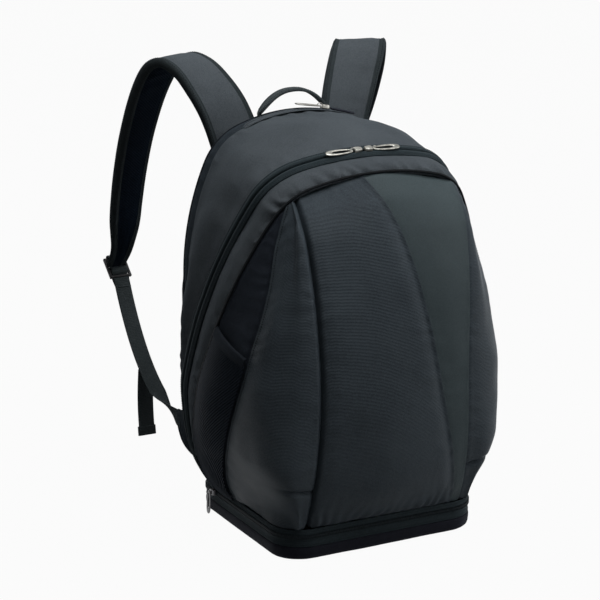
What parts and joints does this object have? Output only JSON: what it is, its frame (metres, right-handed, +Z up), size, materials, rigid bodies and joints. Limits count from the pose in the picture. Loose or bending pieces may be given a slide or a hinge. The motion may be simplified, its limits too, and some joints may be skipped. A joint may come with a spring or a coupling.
{
  "type": "racket backpack",
  "caption": "Upright fabric backpack for rackets, with an arched zip lid, side mesh pockets, a zipped base compartment, padded shoulder straps and a carry handle.",
  "frame": {"origin": "centre of the base's underside, on the floor", "axes": "+Z up, -Y to the front of the pack, +X to the right as seen from the front"},
  "size_m": [0.3744, 0.5073, 0.5534],
  "materials": {
    "body_fabric": "coated charcoal polyester weave",
    "lining": "dark plain weave",
    "zip_tape": "fine ribbed tape",
    "mesh": "open knitted mesh",
    "webbing": "ribbed flat webbing",
    "board": "plain sheet",
    "buckle": "moulded black",
    "nickel": "satin nickel"
  },
  "bodies": {
    "pack": {"back_panel": "lining", "back_board": "board", "divider_panel": "lining", "rear_band": "body_fabric", "rear_gusset": "body_fabric", "main_zip_tape_rear": "zip_tape", "base_tray": "body_fabric", "base_board": "board", "base_zip_tape": "zip_tape", "compartment_floor": "lining", "shoulder_strap_left": "body_fabric", "shoulder_strap_right": "body_fabric", "strap_wing_left": "body_fabric", "strap_wing_right": "body_fabric", "lower_webbing_left": "webbing", "lower_webbing_right": "webbing", "ladder_lock_left": "buckle", "ladder_lock_right": "buckle", "rear_zip_tape": "zip_tape", "rear_zip_cover": "body_fabric"},
    "front_lid": {"main_zip_tape_front": "zip_tape", "front_gusset": "body_fabric", "front_piping": "zip_tape", "side_panel_left": "lining", "side_panel_right": "lining", "front_panel_left": "body_fabric", "front_panel_right": "body_fabric", "centre_panel": "body_fabric", "wedge_panel": "body_fabric", "mesh_pocket_left": "mesh", "mesh_pocket_right": "mesh", "pocket_hem_left": "webbing", "pocket_hem_right": "webbing"},
    "main_slider_left": {"main_slider_left": "nickel"},
    "main_slider_right": {"main_slider_right": "nickel"},
    "main_pull_left": {"main_pull_left": "nickel"},
    "main_pull_right": {"main_pull_right": "nickel"},
    "rear_slider": {"rear_slider": "nickel"},
    "rear_pull": {"rear_pull": "nickel"},
    "base_slider": {"base_slider": "nickel"},
    "base_pull": {"base_pull": "nickel"},
    "carry_handle": {"carry_handle": "webbing"},
    "webbing_tail_left": {"webbing_tail_left": "webbing"},
    "webbing_tail_right": {"webbing_tail_right": "webbing"}
  },
  "joints": [
    {"name": "lid_hinge", "type": "hinge", "parent": "pack", "child": "front_lid", "pos_m": [0, -0.125, 0.0385], "axis": [1, 0, 0], "range_deg": [0, 75]},
    {"name": "main_slider_left_travel", "type": "hinge", "parent": "pack", "child": "main_slider_left", "pos_m": [0, 0.07928, 0.18039], "axis": [0, -0.8988, -0.4384], "range_deg": [0, 12.5]},
    {"name": "main_slider_right_travel", "type": "hinge", "parent": "pack", "child": "main_slider_right", "pos_m": [0, 0.07928, 0.18039], "axis": [0, -0.8988, -0.4384], "range_deg": [-12.5, 0]},
    {"name": "main_pull_left_flip", "type": "hinge", "parent": "main_slider_left", "child": "main_pull_left", "pos_m": [-0.01446, -0.06213, 0.47031], "axis": [0, 0.8988, 0.4384], "range_deg": [0, 100]},
    {"name": "main_pull_right_flip", "type": "hinge", "parent": "main_slider_right", "child": "main_pull_right", "pos_m": [0.01446, -0.06213, 0.47031], "axis": [0, -0.8988, -0.4384], "range_deg": [0, 100]},
    {"name": "rear_slider_travel", "type": "hinge", "parent": "pack", "child": "rear_slider", "pos_m": [0, 0.098, 0.269], "axis": [0, 1, 0], "range_deg": [-18.8, 0]},
    {"name": "rear_pull_flip", "type": "hinge", "parent": "rear_slider", "child": "rear_pull", "pos_m": [0.02912, 0.098, 0.49204], "axis": [0, 1, 0], "range_deg": [0, 100]},
    {"name": "base_slider_travel", "type": "slide", "parent": "pack", "child": "base_slider", "axis": [0, -1, 0], "range_m": [0, 0.12]},
    {"name": "base_pull_flip", "type": "hinge", "parent": "base_slider", "child": "base_pull", "pos_m": [-0.1412, 0.066, 0.031], "axis": [0, 0.9982, -0.0599], "range_deg": [0, 100]},
    {"name": "handle_fold", "type": "hinge", "parent": "pack", "child": "carry_handle", "pos_m": [0, 0.1135, 0.48641], "axis": [-1, 0, 0], "range_deg": [-5, 50]},
    {"name": "tail_swing_left", "type": "hinge", "parent": "pack", "child": "webbing_tail_left", "pos_m": [-0.141, 0.25194, 0.13864], "axis": [1, 0, 0], "range_deg": [-30, 30]},
    {"name": "tail_swing_right", "type": "hinge", "parent": "pack", "child": "webbing_tail_right", "pos_m": [0.141, 0.25194, 0.13864], "axis": [1, 0, 0], "range_deg": [-30, 30]}
  ]
}
